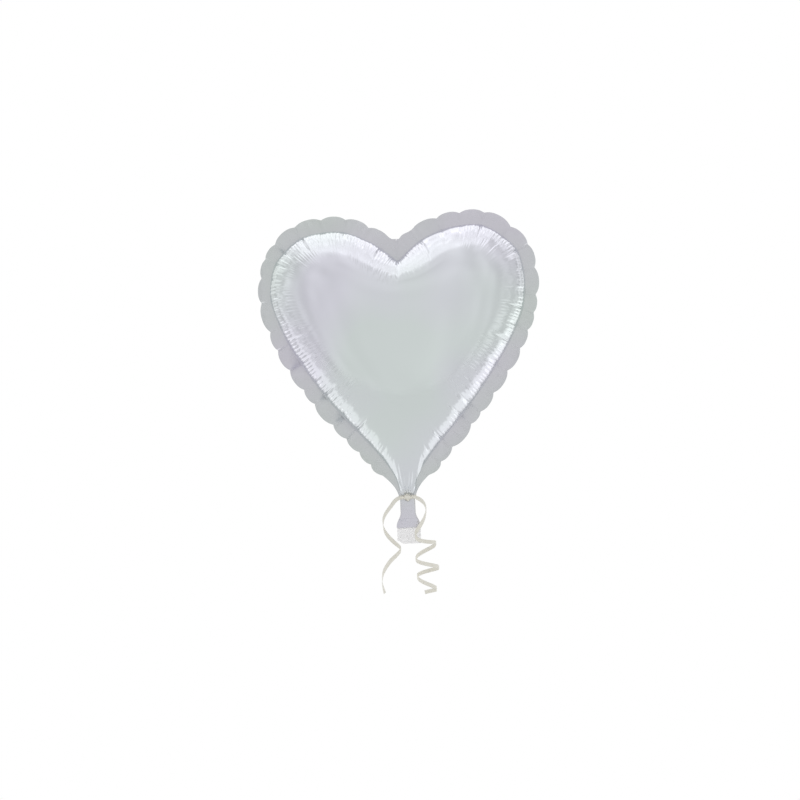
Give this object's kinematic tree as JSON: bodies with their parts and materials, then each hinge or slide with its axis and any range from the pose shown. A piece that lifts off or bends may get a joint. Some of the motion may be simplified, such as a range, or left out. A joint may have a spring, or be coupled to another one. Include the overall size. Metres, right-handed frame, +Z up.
{
  "type": "heart shaped foil balloon",
  "caption": "Heart-shaped metallised film balloon with a scalloped seam border, a gathered neck with a flat inflation valve, and a curling ribbon tied round it.",
  "frame": {"origin": "middle of the ribbon tie on the gathered neck", "axes": "+Z up the balloon from the tie to the notch between the lobes, -Y out of the front face of the heart, +X to the right of a person facing the front"},
  "size_m": [0.3696, 0.152, 0.496],
  "materials": {
    "foil": "polished",
    "clear_film": "gloss",
    "ribbon": "satin"
  },
  "bodies": {
    "balloon": {"front_panel": "foil", "back_panel": "foil", "valve_tube_front": "clear_film", "valve_tube_back": "clear_film", "ribbon_wrap": "ribbon", "ribbon_knot": "ribbon"},
    "neck_tail": {"neck_tail_front": "foil", "neck_tail_back": "foil", "valve_mouth_front": "clear_film", "valve_mouth_back": "clear_film"},
    "left_tail": {"ribbon_tail_left": "ribbon"},
    "right_tail": {"ribbon_tail_right": "ribbon", "ribbon_curls": "ribbon"}
  },
  "joints": [
    {"name": "neck_fold", "type": "hinge", "parent": "balloon", "child": "neck_tail", "pos_m": [0, 0, -0.00606], "axis": [1, 0, 0], "range_deg": [0, 120]},
    {"name": "left_tail_swing", "type": "hinge", "parent": "balloon", "child": "left_tail", "pos_m": [0, -0.00465, 0], "axis": [-1, 0, 0], "range_deg": [-50, 75]},
    {"name": "right_tail_swing", "type": "hinge", "parent": "balloon", "child": "right_tail", "pos_m": [0, -0.00465, 0], "axis": [-1, 0, 0], "range_deg": [0, 75]}
  ]
}
